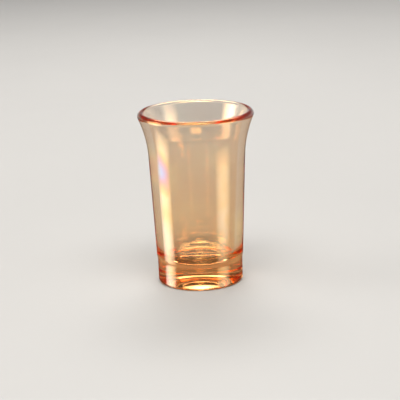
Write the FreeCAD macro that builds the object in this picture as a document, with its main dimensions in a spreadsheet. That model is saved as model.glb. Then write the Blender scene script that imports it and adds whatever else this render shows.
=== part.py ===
"""A tinted shot glass, 70 mm tall, with a flared mouth, a thick base and a straight foot.

The glass is one moulding. It is drawn once, as a revolved profile, and then divided at its own features
into the sub-parts that are written out: drinking lip, flared mouth, tapered wall, thick base and recessed
foot. They meet face to face. Millimetres, +Z up, origin at the centre of the foot's resting plane.
"""
import FreeCAD, Part
import math
import os

import Sketcher

FULL_TURN = 360.0
CLEAR = 5.0  # how far a cutting block stands past the glass
ORIGIN, V_AXIS = -1, -2  # Sketcher's numbers for the sketch's origin and its vertical axis
START, END, CENTRE = 1, 2, 3  # Sketcher's numbers for the points of a line or an arc
VOLUME_TOLERANCE = 1e-6  # how far the sub-parts' volumes may stray from the whole's, as a fraction

DIMENSIONS = {
    "total_height": 70.0,
    "lip_radius": 23.2,
    "lip_thickness": 3.0,
    # the upright foot that the glass stands on, and its rounded heel
    "foot_radius": 17.2,
    "foot_height": 9.4,
    "heel_round": 0.8,
    # the shoulder, where the wall rounds in to the foot
    "shoulder_rise": 2.0,
    "wall_root_radius": 17.6,
    # where the tapered outer wall turns into the flared mouth
    "flare_start_height": 51.6,
    "flare_start_radius": 19.35,
    # the inside of the cup
    "floor_height": 9.6,
    "floor_flat_radius": 8.8,
    "floor_corner": 5.4,
    # the punt, a domed recess under the foot
    "punt_radius": 12.8,
    "punt_rise": 3.3,
    # where the recessed foot ends and the thick base begins, between the punt's crown and the cup's floor
    "foot_joint_height": 5.0,
    # where the flared mouth ends and the lip begins, just under the lip's round
    "lip_joint_height": 67.6,
}


def make_sheet(doc):
    """The spreadsheet of driving dimensions, one row each: name and value."""
    sheet = doc.addObject("Spreadsheet::Sheet", "dims")
    for row, (name, value) in enumerate(DIMENSIONS.items(), start=1):
        sheet.set(f"A{row}", name)
        sheet.set(f"B{row}", str(value))
        sheet.setAlias(f"B{row}", name)
    doc.recompute()
    return sheet


def origin_plane(body, role):
    return next(feature for feature in body.Origin.OriginFeatures if feature.Role == role)


def point(radius, height):
    return FreeCAD.Vector(radius, height, 0)


def line(start, end):
    return Part.LineSegment(point(*start), point(*end))


def arc(centre, radius, start_angle, end_angle):
    """An arc that runs anticlockwise from start_angle to end_angle, in radians."""
    circle = Part.Circle(point(*centre), FreeCAD.Vector(0, 0, 1), radius)
    return Part.ArcOfCircle(circle, start_angle, end_angle)


def wall_taper(sheet):
    """The outer wall's lean from upright, in radians, and its outward normal."""
    rise = sheet.flare_start_height - sheet.foot_height - sheet.shoulder_rise
    taper = math.atan2(sheet.flare_start_radius - sheet.wall_root_radius, rise)
    return taper, (math.cos(taper), -math.sin(taper))


def shoulder_centre(sheet):
    """Centre and radius of the shoulder: it leaves the crease at the top of the foot, and runs into the
    outer wall at the wall's root."""
    _, outward = wall_taper(sheet)
    across = sheet.wall_root_radius - sheet.foot_radius
    along = across * outward[0] + sheet.shoulder_rise * outward[1]
    radius = (across**2 + sheet.shoulder_rise**2) / (2 * along)
    centre = (
        sheet.wall_root_radius - radius * outward[0],
        sheet.foot_height + sheet.shoulder_rise - radius * outward[1],
    )
    return centre, radius


def flare_centre(sheet):
    """Centre and radius of the outer flare: tangent to the outer wall where the flare starts, and half the
    lip's thickness away from the centre of the lip's round."""
    _, outward = wall_taper(sheet)
    half = sheet.lip_thickness / 2
    from_lip = (
        sheet.flare_start_radius - (sheet.lip_radius - half),
        sheet.flare_start_height - (sheet.total_height - half),
    )
    along = outward[0] * from_lip[0] + outward[1] * from_lip[1]
    radius = (from_lip[0] ** 2 + from_lip[1] ** 2 - half**2) / (2 * half - 2 * along)
    centre = (
        sheet.flare_start_radius + radius * outward[0],
        sheet.flare_start_height + radius * outward[1],
    )
    return centre, radius


def draw_profile(sketch, sheet):
    """Draws the glass's half section at its final shape, and names its lines and arcs."""
    half = sheet.lip_thickness / 2
    taper, _ = wall_taper(sheet)
    centre, outer = flare_centre(sheet)
    inner = outer + sheet.lip_thickness
    lip = (sheet.lip_radius - half, sheet.total_height - half)
    lip_angle = math.atan2(lip[1] - centre[1], lip[0] - centre[0])
    corner = (sheet.floor_flat_radius, sheet.floor_height + sheet.floor_corner)
    # The inner wall touches the floor's corner and the inner flare, which lie on opposite sides of it.
    apart = (centre[0] - corner[0], centre[1] - corner[1])
    lean = math.atan2(apart[1], apart[0])
    lean -= math.pi / 2 - math.asin((inner + sheet.floor_corner) / math.hypot(*apart))
    wall_low = (
        corner[0] + sheet.floor_corner * math.cos(lean),
        corner[1] + sheet.floor_corner * math.sin(lean),
    )
    wall_top = (centre[0] - inner * math.cos(lean), centre[1] - inner * math.sin(lean))
    dome = (sheet.punt_radius**2 + sheet.punt_rise**2) / (2 * sheet.punt_rise)
    dome_edge = math.asin(sheet.punt_radius / dome)
    heel = (sheet.foot_radius - sheet.heel_round, sheet.heel_round)
    shoulder, shoulder_radius = shoulder_centre(sheet)
    crease_angle = math.atan2(sheet.foot_height - shoulder[1], sheet.foot_radius - shoulder[0])
    wall_root = (sheet.wall_root_radius, sheet.foot_height + sheet.shoulder_rise)
    flare_start = (sheet.flare_start_radius, sheet.flare_start_height)
    shapes = {
        "bearing": line((sheet.punt_radius, 0), (heel[0], 0)),
        "heel": arc(heel, sheet.heel_round, -math.pi / 2, 0),
        "side": line((sheet.foot_radius, heel[1]), (sheet.foot_radius, sheet.foot_height)),
        "shoulder": arc(shoulder, shoulder_radius, crease_angle, -taper),
        "outer_wall": line(wall_root, flare_start),
        "outer_flare": arc(centre, outer, lip_angle, math.pi - taper),
        "lip": arc(lip, half, lip_angle - math.pi, lip_angle),
        "inner_flare": arc(centre, inner, lip_angle, math.pi + lean),
        "inner_wall": line(wall_top, wall_low),
        "corner": arc(corner, sheet.floor_corner, -math.pi / 2, lean),
        "floor": line((corner[0], sheet.floor_height), (0, sheet.floor_height)),
        "axis": line((0, sheet.floor_height), (0, sheet.punt_rise)),
        "punt": arc(
            (0, sheet.punt_rise - dome), dome, math.pi / 2 - dome_edge, math.pi / 2
        ),
    }
    return {name: sketch.addGeometry(shape, False) for name, shape in shapes.items()}


def constrain_profile(sketch, at):
    """Ties the profile's lines and arcs together, and its sizes to the spreadsheet."""

    def rule(*words):
        sketch.addConstraint(Sketcher.Constraint(*words))

    def size(kind, formula, *where):
        """A dimension that follows a formula of the sheet's cells; its first value is the drawn one."""
        drawn = {"DistanceX": 0, "DistanceY": 1}.get(kind)
        if drawn is None:
            value = sketch.Geometry[where[0]].Radius
        else:
            value = sketch.getPoint(*where)[drawn]
            where = (ORIGIN, START, *where)
        number = sketch.addConstraint(Sketcher.Constraint(kind, *where, value))
        sketch.setExpression(f"Constraints[{number}]", formula)

    smooth = [
        ("bearing", END, "heel", START),
        ("heel", END, "side", START),
        ("shoulder", END, "outer_wall", START),
        ("outer_wall", END, "outer_flare", END),
        ("outer_flare", START, "lip", START),
        ("lip", END, "inner_flare", START),
        ("inner_flare", END, "inner_wall", START),
        ("inner_wall", END, "corner", END),
        ("corner", START, "floor", START),
    ]
    for first, first_end, second, second_end in smooth:
        rule("Tangent", at[first], first_end, at[second], second_end)
    sharp = [
        ("side", END, "shoulder", START),
        ("floor", END, "axis", START),
        ("axis", END, "punt", END),
        ("punt", START, "bearing", START),
        ("outer_flare", CENTRE, "inner_flare", CENTRE),
    ]
    for first, first_end, second, second_end in sharp:
        rule("Coincident", at[first], first_end, at[second], second_end)
    rule("Horizontal", at["bearing"])
    rule("Vertical", at["side"])
    rule("Horizontal", at["floor"])
    rule("PointOnObject", at["axis"], START, V_AXIS)
    rule("PointOnObject", at["axis"], END, V_AXIS)
    rule("PointOnObject", at["punt"], CENTRE, V_AXIS)
    rule("PointOnObject", at["bearing"], START, ORIGIN)  # geometry -1 is also the horizontal axis

    size("DistanceX", "dims.punt_radius", at["bearing"], START)
    size("Radius", "dims.heel_round", at["heel"])
    size("DistanceX", "dims.foot_radius", at["side"], END)
    size("DistanceY", "dims.foot_height", at["side"], END)
    size("DistanceX", "dims.wall_root_radius", at["outer_wall"], START)
    size("DistanceY", "dims.foot_height + dims.shoulder_rise", at["outer_wall"], START)
    size("DistanceX", "dims.flare_start_radius", at["outer_wall"], END)
    size("DistanceY", "dims.flare_start_height", at["outer_wall"], END)
    size("Radius", "dims.lip_thickness / 2", at["lip"])
    size("DistanceX", "dims.lip_radius - dims.lip_thickness / 2", at["lip"], CENTRE)
    size("DistanceY", "dims.total_height - dims.lip_thickness / 2", at["lip"], CENTRE)
    size("Radius", "dims.floor_corner", at["corner"])
    size("DistanceX", "dims.floor_flat_radius", at["corner"], CENTRE)
    size("DistanceY", "dims.floor_height", at["floor"], END)
    size("DistanceY", "dims.punt_rise", at["axis"], END)


def make_whole_glass(doc, sheet):
    """The whole glass in one revolved piece, and the sketch that it is turned from."""
    body = doc.addObject("PartDesign::Body", "whole_glass")
    sketch = body.newObject("Sketcher::SketchObject", "half_section")
    sketch.AttachmentSupport = (origin_plane(body, "XZ_Plane"), [""])
    sketch.MapMode = "FlatFace"
    constrain_profile(sketch, draw_profile(sketch, sheet))

    turned = body.newObject("PartDesign::Revolution", "turned_glass")
    turned.Profile = sketch
    turned.ReferenceAxis = (sketch, ["V_Axis"])
    turned.Angle = FULL_TURN
    doc.recompute()
    return body, sketch


def make_part(doc, name, whole, bottom, top):
    """The stretch of the glass between two heights, each a formula of the sheet's cells."""
    block = doc.addObject("Part::Cylinder", f"{name}_block")
    block.setExpression("Radius", f"dims.lip_radius + {CLEAR}")
    block.setExpression("Height", f"{top} - ({bottom})")
    block.setExpression("Placement.Base.z", bottom)

    part = doc.addObject("Part::Common", name)
    part.Base = whole
    part.Tool = block
    part.Label = name
    return part


def make_parts(doc, whole):
    """The sub-parts from the top down. Each starts where the one above it ends."""
    bottoms = {
        "drinking_lip": "dims.lip_joint_height",
        "flared_mouth": "dims.flare_start_height",
        "tapered_wall": "dims.floor_height + dims.floor_corner",
        "thick_base": "dims.foot_joint_height",
        "recessed_foot": f"-{CLEAR}",
    }
    parts = []
    top = f"dims.total_height + {CLEAR}"
    for name, bottom in bottoms.items():
        parts.append(make_part(doc, name, whole, bottom, top))
        top = bottom
    return parts


def check(doc, sketch, whole, parts):
    """Stops if anything failed, or if the sub-parts don't add up to the whole glass."""
    failed = [thing.Name for thing in doc.Objects if {"Invalid", "Error"} & set(thing.State)]
    if failed:
        raise RuntimeError(f"these objects failed: {failed}")
    if sketch.solve() or not sketch.FullyConstrained:
        raise RuntimeError("the half section isn't solved and fully constrained")
    for part in parts:
        shape = part.Shape
        if shape.isNull() or not shape.isValid() or len(shape.Solids) != 1:
            raise RuntimeError(f"{part.Label} isn't one valid solid")
    whole_volume = whole.Shape.Volume
    parts_volume = sum(part.Shape.Volume for part in parts)
    if abs(parts_volume - whole_volume) > VOLUME_TOLERANCE * whole_volume:
        raise RuntimeError(f"the sub-parts hold {parts_volume:.2f} mm3, not {whole_volume:.2f}")


def main():
    doc = FreeCAD.newDocument("shot_glass")
    sheet = make_sheet(doc)
    whole, sketch = make_whole_glass(doc, sheet)
    parts = make_parts(doc, whole)
    doc.recompute()
    check(doc, sketch, whole, parts)
    os.makedirs("parts", exist_ok=True)
    for part in parts:
        part.Shape.exportStep(f"parts/{part.Label}.step")
        print(f"{part.Label}: {part.Shape.Volume:.1f} mm3")


main()
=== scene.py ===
"""The looks of an amber shot glass with a faint lustre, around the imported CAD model. Metres, +Z up."""

import math

import bmesh
import bpy
from mathutils import Matrix, Vector


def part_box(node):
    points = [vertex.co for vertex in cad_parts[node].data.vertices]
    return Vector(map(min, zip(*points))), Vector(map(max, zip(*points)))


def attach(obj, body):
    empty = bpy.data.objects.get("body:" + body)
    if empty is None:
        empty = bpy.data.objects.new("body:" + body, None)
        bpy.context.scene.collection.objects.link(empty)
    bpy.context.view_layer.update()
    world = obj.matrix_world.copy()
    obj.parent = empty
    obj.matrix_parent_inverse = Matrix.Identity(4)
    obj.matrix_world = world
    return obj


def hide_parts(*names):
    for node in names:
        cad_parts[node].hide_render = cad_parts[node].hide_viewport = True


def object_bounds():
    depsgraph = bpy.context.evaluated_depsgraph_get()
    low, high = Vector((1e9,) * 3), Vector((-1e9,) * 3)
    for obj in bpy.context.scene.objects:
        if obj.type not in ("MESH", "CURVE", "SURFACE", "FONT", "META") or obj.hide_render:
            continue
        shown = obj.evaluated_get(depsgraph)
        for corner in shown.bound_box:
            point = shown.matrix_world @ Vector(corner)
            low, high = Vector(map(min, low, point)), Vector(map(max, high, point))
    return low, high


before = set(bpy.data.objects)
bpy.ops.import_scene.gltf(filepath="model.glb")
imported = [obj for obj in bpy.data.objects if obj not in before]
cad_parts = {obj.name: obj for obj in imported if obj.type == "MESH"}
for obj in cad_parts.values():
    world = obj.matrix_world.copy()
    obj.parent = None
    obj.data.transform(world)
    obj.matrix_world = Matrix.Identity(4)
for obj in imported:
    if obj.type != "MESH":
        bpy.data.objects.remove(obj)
cad_low, cad_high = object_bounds()

MM = 0.001

# The glass, beyond what the frame's boxes say about it
LIP_THICKNESS = 3.0 * MM
FOOT_HEIGHT = 9.4 * MM
HEEL_ROUND = 0.8 * MM
SHOULDER_RISE = 2.0 * MM
FLOOR_HEIGHT = 9.6 * MM
FLOOR_FLAT_RADIUS = 8.8 * MM
PUNT_RADIUS = 12.8 * MM
PUNT_RISE = 3.3 * MM
SEGMENTS = 256  # round the axis
ARC_STEP = math.radians(3)  # the most that one step along a rounded stretch turns
LINE_STEP = 0.8 * MM  # the longest step along a straight stretch
SHARP_ANGLE = math.radians(25)  # a turn sharper than this stays a crease
ON_AXIS = 1e-9  # a point closer to the axis than this, in metres, is on it

# The camera
VIEW_ELEVATION = math.radians(15.27)
VIEW_DISTANCE = 0.555
VIEW_ROLL = math.radians(-1.93)
LENS = 123.6  # mm, on a sensor 36 mm wide
SHIFT = (0.0046, -0.0122)


# ---------------------------------------------------------------- shape

def arc(centre, radius, start, end):
    """Points along an arc, with both its ends, from angle start to angle end."""
    steps = max(2, math.ceil(abs(end - start) / ARC_STEP))
    angles = [start + (end - start) * step / steps for step in range(steps + 1)]
    return [(centre[0] + radius * math.cos(a), centre[1] + radius * math.sin(a)) for a in angles]


def line(start, end):
    """Points along a straight stretch, with both its ends."""
    steps = max(1, math.ceil(math.dist(start, end) / LINE_STEP))
    shares = [step / steps for step in range(steps + 1)]
    return [tuple(a + (b - a) * share for a, b in zip(start, end)) for share in shares]


def half_section():
    """The glass's outline from the crown of the punt, out and up the outside, over the lip, and down the
    inside to the middle of the cup's floor: each stretch by name, as a list of (radius, height)."""
    height = cad_high.z
    lip_radius = cad_high.x
    foot_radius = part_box("recessed_foot")[1].x
    flare_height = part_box("flared_mouth")[0].z
    flare_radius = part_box("tapered_wall")[1].x
    base_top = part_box("thick_base")[1].z
    base_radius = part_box("thick_base")[1].x

    # The outer wall's lean from upright, and the shoulder that rounds it in to the foot
    taper = math.atan2(flare_radius - base_radius, flare_height - base_top)
    outward = Vector((math.cos(taper), -math.sin(taper)))
    root_height = FOOT_HEIGHT + SHOULDER_RISE
    root = Vector((base_radius - (base_top - root_height) * math.tan(taper), root_height))
    crease = Vector((foot_radius, FOOT_HEIGHT))
    shoulder_radius = (root - crease).length_squared / (2 * (root - crease).dot(outward))
    shoulder = root - shoulder_radius * outward
    crease_angle = math.atan2(crease.y - shoulder.y, crease.x - shoulder.x)

    # The flare, tangent to the outer wall, and the lip's round, tangent to the flare
    half = LIP_THICKNESS / 2
    lip = Vector((lip_radius - half, height - half))
    flare_start = Vector((flare_radius, flare_height))
    reach = flare_start - lip
    outer_flare = (reach.length_squared - half**2) / (2 * half - 2 * reach.dot(outward))
    flare = flare_start + outer_flare * outward
    inner_flare = outer_flare + LIP_THICKNESS
    lip_angle = math.atan2(lip.y - flare.y, lip.x - flare.x)

    # The inner wall, tangent to the inner flare and to the floor's corner
    corner_radius = base_top - FLOOR_HEIGHT
    corner = Vector((FLOOR_FLAT_RADIUS, base_top))
    apart = flare - corner
    lean = math.atan2(apart.y, apart.x) - math.acos((inner_flare + corner_radius) / apart.length)
    along = Vector((math.cos(lean), math.sin(lean)))

    # The punt, a shallow dome
    dome = (PUNT_RADIUS**2 + PUNT_RISE**2) / (2 * PUNT_RISE)
    dome_edge = math.asin(PUNT_RADIUS / dome)
    heel = (foot_radius - HEEL_ROUND, HEEL_ROUND)
    up = math.pi / 2
    return {
        "punt": arc((0, PUNT_RISE - dome), dome, up, up - dome_edge),
        "bearing": line((PUNT_RADIUS, 0), (heel[0], 0)),
        "heel": arc(heel, HEEL_ROUND, -up, 0),
        "side": line((foot_radius, HEEL_ROUND), tuple(crease)),
        "shoulder": arc(shoulder, shoulder_radius, crease_angle, -taper),
        "outer_wall": line(tuple(root), tuple(flare_start)),
        "outer_flare": arc(flare, outer_flare, math.pi - taper, lip_angle),
        "lip": arc(lip, half, lip_angle - math.pi, lip_angle),
        "inner_flare": arc(flare, inner_flare, lip_angle, math.pi + lean),
        "inner_wall": line(tuple(flare - inner_flare * along), tuple(corner + corner_radius * along)),
        "corner": arc(corner, corner_radius, lean, -up),
        "floor": line((FLOOR_FLAT_RADIUS, FLOOR_HEIGHT), (0, FLOOR_HEIGHT)),
    }


def lathe(name, outline):
    """A closed mesh: the outline turned about the Z axis. The outline starts and ends on the axis."""
    mesh = bpy.data.meshes.new(name)
    bm = bmesh.new()
    turns = [2 * math.pi * i / SEGMENTS for i in range(SEGMENTS)]
    rings = []
    for radius, height in outline:
        ring = [(0, 0, height)] if radius < ON_AXIS else [
            (radius * math.cos(a), radius * math.sin(a), height) for a in turns
        ]
        rings.append([bm.verts.new(place) for place in ring])
    for low, high in zip(rings, rings[1:]):
        for i in range(SEGMENTS):
            corners = [low[i % len(low)], low[(i + 1) % len(low)]]
            corners += [high[(i + 1) % len(high)], high[i % len(high)]]
            bm.faces.new(list(dict.fromkeys(corners)))
    bmesh.ops.recalc_face_normals(bm, faces=bm.faces)
    bm.to_mesh(mesh)
    bm.free()
    piece = bpy.data.objects.new(name, mesh)
    bpy.context.scene.collection.objects.link(piece)
    return piece


# ---------------------------------------------------------------- materials

# A noise is given as its lumps in a metre and its detail
NOISE_SPAN = (0.3, 0.7)  # the stretch of its values that a ramp spreads out
NOISE_MIDDLE = 0.5


def new_material(name):
    """A node material, its Principled shader and its output."""
    material = bpy.data.materials.new(name)
    material.use_nodes = True
    nodes = material.node_tree.nodes
    return material, nodes["Principled BSDF"], nodes["Material Output"]


def add_node(material, kind, **inputs):
    """A node of that kind, with its unlinked inputs set by name, an underscore standing for a space."""
    node = material.node_tree.nodes.new(kind)
    for name, value in inputs.items():
        node.inputs[name.replace("_", " ")].default_value = value
    return node


def noise(material, scale, detail, stretch=(1, 1, 1)):
    """What comes out of a noise pattern in the object's own frame. Scale is in lumps a metre."""
    links = material.node_tree.links
    place = material.node_tree.nodes.new("ShaderNodeTexCoord")
    mapping = add_node(material, "ShaderNodeMapping", Scale=stretch)
    pattern = add_node(material, "ShaderNodeTexNoise", Scale=scale, Detail=detail)
    links.new(place.outputs["Object"], mapping.inputs["Vector"])
    links.new(mapping.outputs["Vector"], pattern.inputs["Vector"])
    return pattern.outputs["Fac"]


def ramp(material, source, low, high, to_low, to_high):
    """A straight-line change of range from low..high to to_low..to_high."""
    ends = {"From_Min": low, "From_Max": high, "To_Min": to_low, "To_Max": to_high}
    node = add_node(material, "ShaderNodeMapRange", **ends)
    material.node_tree.links.new(source, node.inputs["Value"])
    return node.outputs["Result"]


def combine(owner, operation, first, second):
    """One step of sums on two sockets. owner is the material or light whose nodes they are."""
    node = owner.node_tree.nodes.new("ShaderNodeMath")
    node.operation = operation
    owner.node_tree.links.new(first, node.inputs[0])
    owner.node_tree.links.new(second, node.inputs[1])
    return node.outputs["Value"]


# The lustre film's thickness in nanometres at the foot and at the mouth, and how much it strays. It is
# thicker in two patches: each is a centre and a half-size, in millimetres
FILM_FOOT, FILM_MOUTH = 86.0, 98.0
FILM_STRAY = 18.0
FILM_PATCH = 90.0  # how much thicker in the middle of a patch
PATCHES = [
    ((-19, -8, 48), (16, 16, 10)),
    ((19, -9, 22), (10, 10, 12)),
]
PATCH_EDGE = (0.1, 1.2)  # how far out, as a share of its half-size, a patch starts and ends fading
PATCH_DRIFT = 5 * MM  # how far a patch's outline wanders
FILM_NOISE, DRIFT_NOISE = (60.0, 2.0), (70.0, 1.0)
FILM_IOR = 2.05


def vector_step(owner, operation, first, second=None):
    """One step of vector sums. owner is a material or a light, and second a socket or three numbers."""
    node = owner.node_tree.nodes.new("ShaderNodeVectorMath")
    node.operation = operation
    owner.node_tree.links.new(first, node.inputs[0])
    if isinstance(second, bpy.types.NodeSocket):
        owner.node_tree.links.new(second, node.inputs[1])
    elif second is not None:
        node.inputs[1].default_value = second
    return node


def wandering_place(material):
    """A point's place in the glass, moved about by a smooth noise."""
    place = material.node_tree.nodes.new("ShaderNodeTexCoord").outputs["Object"]
    scale, detail = DRIFT_NOISE
    pattern = add_node(material, "ShaderNodeTexNoise", Scale=scale, Detail=detail)
    material.node_tree.links.new(place, pattern.inputs["Vector"])
    centred = vector_step(material, "SUBTRACT", pattern.outputs["Color"], (NOISE_MIDDLE,) * 3)
    drift = vector_step(material, "MULTIPLY", centred.outputs["Vector"], (2 * PATCH_DRIFT,) * 3)
    return vector_step(material, "ADD", place, drift.outputs["Vector"]).outputs["Vector"]


def patch(material, place, centre, half_size):
    """1 in the middle of a soft-edged patch and 0 outside it."""
    shifted = vector_step(material, "SUBTRACT", place, [MM * part for part in centre])
    span = [MM * part for part in half_size]
    scaled = vector_step(material, "DIVIDE", shifted.outputs["Vector"], span)
    reach = vector_step(material, "LENGTH", scaled.outputs["Vector"])
    return ramp(material, reach.outputs["Value"], *PATCH_EDGE, 1, 0)


def film_thickness(material):
    """A film that is a little thicker towards the mouth, wanders, and has thicker patches."""
    height = height_in_glass(material)
    steady = ramp(material, height, 0, cad_high.z, FILM_FOOT, FILM_MOUTH)
    stray = ramp(material, noise(material, *FILM_NOISE), *NOISE_SPAN, -FILM_STRAY, FILM_STRAY)
    film = combine(material, "ADD", steady, stray)
    place = wandering_place(material)
    for centre, half_size in PATCHES:
        thicker = ramp(material, patch(material, place, centre, half_size), 0, 1, 0, FILM_PATCH)
        film = combine(material, "ADD", film, thicker)
    return film


# The colour that light picks up at the surface, at the top and at the foot of the glass
TINT_TOP = (1.0, 0.90, 0.80, 1)
TINT_FOOT = (1.0, 0.80, 0.54, 1)

# The glass itself: its refractive index, and the colour and the density (per metre) of its absorption
GLASS_IOR = 1.52
BODY_COLOUR, BODY_DENSITY = (0.99, 0.70, 0.35, 1), 62.0

# The surface: smudges that dull the polish a little, and waves, drawn out along the axis
SMUDGE_NOISE, SMUDGE_SPAN, SMUDGE_ROUGHNESS = (160, 3.0), (0.35, 0.75), 0.035
WAVE_NOISE, WAVE_STRETCH = (140, 1.5), (1, 1, 0.35)
WAVE_HEIGHT, WAVE_STRENGTH = 0.05 * MM, 0.25


def mix_colours(material, share, first, second):
    """The first colour where share is 0 and the second where it is 1."""
    node = material.node_tree.nodes.new("ShaderNodeMix")
    node.data_type = "RGBA"
    material.node_tree.links.new(share, node.inputs["Factor"])
    for name, colour in zip(("A_Color", "B_Color"), (first, second)):
        socket = next(entry for entry in node.inputs if entry.identifier == name)
        socket.default_value = colour
    return next(entry for entry in node.outputs if entry.identifier == "Result_Color")


def height_in_glass(material):
    """Height above the foot, in metres."""
    place = material.node_tree.nodes.new("ShaderNodeTexCoord")
    parts = material.node_tree.nodes.new("ShaderNodeSeparateXYZ")
    material.node_tree.links.new(place.outputs["Object"], parts.inputs["Vector"])
    return parts.outputs["Z"]


def surface_tint(material):
    """Pale peach at the mouth, deepening to orange at the foot."""
    from_top = ramp(material, height_in_glass(material), 0, cad_high.z, 1, 0)
    return mix_colours(material, from_top, TINT_TOP, TINT_FOOT)


def amber_glass():
    """Clear glass, coloured all through and at its surface, so that it is pale in the wall and orange in the
    base and the lip. It is polished, with faint waves and smudges, and has the lustre film all over."""
    material, shader, output = new_material("amber_glass")
    links = material.node_tree.links
    links.new(surface_tint(material), shader.inputs["Base Color"])
    shader.inputs["Transmission Weight"].default_value = 1.0
    shader.inputs["IOR"].default_value = GLASS_IOR
    shader.inputs["Thin Film IOR"].default_value = FILM_IOR
    links.new(film_thickness(material), shader.inputs["Thin Film Thickness"])
    smudges = noise(material, *SMUDGE_NOISE)
    links.new(ramp(material, smudges, *SMUDGE_SPAN, 0, SMUDGE_ROUGHNESS), shader.inputs["Roughness"])
    waves = add_node(material, "ShaderNodeBump", Strength=WAVE_STRENGTH, Distance=WAVE_HEIGHT)
    links.new(noise(material, *WAVE_NOISE, stretch=WAVE_STRETCH), waves.inputs["Height"])
    links.new(waves.outputs["Normal"], shader.inputs["Normal"])
    body = add_node(material, "ShaderNodeVolumeAbsorption", Color=BODY_COLOUR, Density=BODY_DENSITY)
    links.new(body.outputs["Volume"], output.inputs["Volume"])
    return material


FLOOR_DARK, FLOOR_LIGHT = (0.58, 0.575, 0.57, 1), (0.62, 0.615, 0.61, 1)
FLOOR_ROUGHNESS = (0.50, 0.60)
FLOOR_GLOSS = 0.15
FLOOR_COLOUR_NOISE, FLOOR_ROUGH_NOISE = (3, 2.0), (12, 2.0)


def pale_floor():
    """A plain pale table top, nearly matt."""
    material, shader, _ = new_material("pale_floor")
    shader.inputs["Specular IOR Level"].default_value = FLOOR_GLOSS
    links = material.node_tree.links
    grain = add_node(material, "ShaderNodeValToRGB")
    for stop, colour in zip(grain.color_ramp.elements, (FLOOR_DARK, FLOOR_LIGHT)):
        stop.color = colour
    links.new(noise(material, *FLOOR_COLOUR_NOISE), grain.inputs["Fac"])
    links.new(grain.outputs["Color"], shader.inputs["Base Color"])
    rough = ramp(material, noise(material, *FLOOR_ROUGH_NOISE), *NOISE_SPAN, *FLOOR_ROUGHNESS)
    links.new(rough, shader.inputs["Roughness"])
    return material


# ---------------------------------------------------------------- the glass

def make_glass():
    """The whole glass, as one closed mesh."""
    outline = []
    for stretch in half_section().values():
        outline += stretch[1:] if outline else stretch  # a stretch starts where the last one ended
    glass = lathe("shot_glass", outline)
    glass.data.shade_smooth()
    glass.data.set_sharp_from_angle(angle=SHARP_ANGLE)
    glass.data.materials.append(amber_glass())
    return glass


# ---------------------------------------------------------------- studio

FLOOR_HALF = 1.9  # metres from the floor's middle to each side
FLOOR_GAP = 0.15 * MM  # keeps the floor's face off the foot's

# The softboxes: azimuth and elevation in degrees, distance, width and height in metres, and radiance
SOFTBOXES = {
    "key_left": (91, 0, 2.0, 1.6, 3.4, 4.2),
    "fill_right": (-65, 0, 2.0, 1.6, 2.6, 2.4),
    "top_back": (180, 50, 1.0, 0.9, 0.5, 9.0),
    "overhead": (0, 66, 1.2, 1.4, 0.7, 9.0),
}
WARM_WHITE = (1.0, 0.97, 0.92)
FADE_PEAK = 4.0  # x * (1 - x) is a quarter at the most, so this many times it is 1 at the most

# The room's brightness by the sine of the angle above the horizon: dark under the table, pale walls, and
# a dimmer ceiling
ROOM = ((-0.20, 0.03), (-0.12, 0.70), (0.10, 0.70), (0.30, 0.12))


def make_floor():
    """The square table top."""
    mesh = bpy.data.meshes.new("floor")
    side = FLOOR_HALF
    level = cad_low.z - FLOOR_GAP
    corners = [(-side, -side, level), (side, -side, level), (side, side, level), (-side, side, level)]
    mesh.from_pydata(corners, [], [(0, 1, 2, 3)])
    mesh.materials.append(pale_floor())
    floor = bpy.data.objects.new("floor", mesh)
    floor.visible_glossy = False  # the glass mirrors the studio round the table, not the table top
    bpy.context.scene.collection.objects.link(floor)
    return floor


def softbox(name, azimuth, elevation, distance, width, height, radiance):
    """A rectangular soft light that faces the glass, brightest in its middle and fading to its edges.
    Azimuth is in degrees round from the camera's side, to its left. The camera doesn't see it directly."""
    light = bpy.data.lights.new(name, "AREA")
    light.shape = "RECTANGLE"
    light.size = width
    light.size_y = height
    light.energy = radiance * math.pi * width * height
    light.color = WARM_WHITE
    light.use_nodes = True
    place = light.node_tree.nodes.new("ShaderNodeNewGeometry").outputs["Parametric"]
    turned = vector_step(light, "MULTIPLY", place, (-1, -1, 0))
    from_far_edge = vector_step(light, "ADD", turned.outputs["Vector"], (1, 1, 0))
    fades = vector_step(light, "MULTIPLY", place, from_far_edge.outputs["Vector"])
    peak_one = vector_step(light, "SCALE", fades.outputs["Vector"])
    peak_one.inputs["Scale"].default_value = FADE_PEAK
    sides = light.node_tree.nodes.new("ShaderNodeSeparateXYZ")
    light.node_tree.links.new(peak_one.outputs["Vector"], sides.inputs["Vector"])
    share = combine(light, "MULTIPLY", sides.outputs["X"], sides.outputs["Y"])
    light.node_tree.links.new(share, light.node_tree.nodes["Emission"].inputs["Strength"])
    lamp = bpy.data.objects.new(name, light)
    turn = math.radians(azimuth)
    rise = math.radians(elevation)
    middle = Vector((0, 0, cad_high.z / 2))
    out = Vector((-math.sin(turn) * math.cos(rise), -math.cos(turn) * math.cos(rise), math.sin(rise)))
    lamp.location = middle + distance * out
    lamp.rotation_euler = (-out).to_track_quat("-Z", "Y").to_euler()
    lamp.visible_camera = False
    bpy.context.scene.collection.objects.link(lamp)


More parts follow.
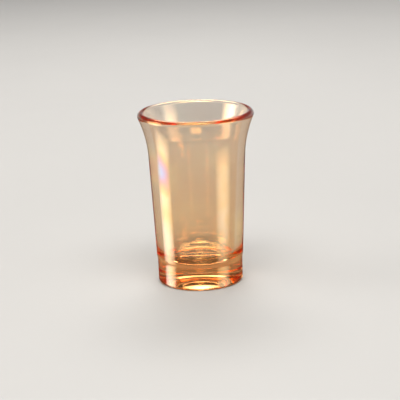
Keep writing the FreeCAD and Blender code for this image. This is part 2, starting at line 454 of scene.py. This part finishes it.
def surround_with_room():
    """The room round the table: its brightness in each direction depends only on how steeply it looks up."""
    world = bpy.data.worlds.new("studio")
    bpy.context.scene.world = world
    world.use_nodes = True
    nodes = world.node_tree.nodes
    place = nodes.new("ShaderNodeTexCoord")
    parts = nodes.new("ShaderNodeSeparateXYZ")
    rise = nodes.new("ShaderNodeMapRange")
    rise.inputs["From Min"].default_value = -1.0  # straight down, and 1 is straight up
    shade = nodes.new("ShaderNodeValToRGB")
    stops = shade.color_ramp.elements
    while len(stops) < len(ROOM):
        stops.new(1.0)
    for stop, (steepness, brightness) in zip(stops, ROOM):
        stop.position = (steepness + 1) / 2
        stop.color = (brightness, brightness, brightness, 1)
    links = world.node_tree.links
    links.new(place.outputs["Generated"], parts.inputs["Vector"])
    links.new(parts.outputs["Z"], rise.inputs["Value"])
    links.new(rise.outputs["Result"], shade.inputs["Fac"])
    links.new(shade.outputs["Color"], nodes["Background"].inputs["Color"])


def light_studio():
    """The softboxes and the room."""
    for name, settings in SOFTBOXES.items():
        softbox(name, *settings)
    surround_with_room()


def aim_camera():
    """A camera on the -Y side, looking at the middle of the glass and rolled a little."""
    camera = bpy.data.cameras.new("camera")
    camera.lens = LENS
    camera.shift_x, camera.shift_y = SHIFT
    eye = bpy.data.objects.new("camera", camera)
    middle = Vector((0, 0, cad_high.z / 2))
    back = Vector((0, -math.cos(VIEW_ELEVATION), math.sin(VIEW_ELEVATION)))
    eye.location = middle + VIEW_DISTANCE * back
    level = (-back).to_track_quat("-Z", "Y").to_matrix()
    eye.rotation_euler = (level @ Matrix.Rotation(VIEW_ROLL, 3, "Z")).to_euler()
    bpy.context.scene.collection.objects.link(eye)
    bpy.context.scene.camera = eye


GLASS_BOUNCES, DIFFUSE_BOUNCES = 96, 6


def set_light_paths():
    """Enough bounces for light to find its way out of thick glass, and colours shown as they are."""
    scene = bpy.context.scene
    scene.cycles.max_bounces = GLASS_BOUNCES
    scene.cycles.transmission_bounces = GLASS_BOUNCES
    scene.cycles.glossy_bounces = GLASS_BOUNCES  # light that stays inside the glass counts as glossy
    scene.cycles.diffuse_bounces = DIFFUSE_BOUNCES
    scene.view_settings.view_transform = "Standard"


glass = make_glass()
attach(glass, "root")
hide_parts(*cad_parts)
make_floor()
light_studio()
aim_camera()
set_light_paths()
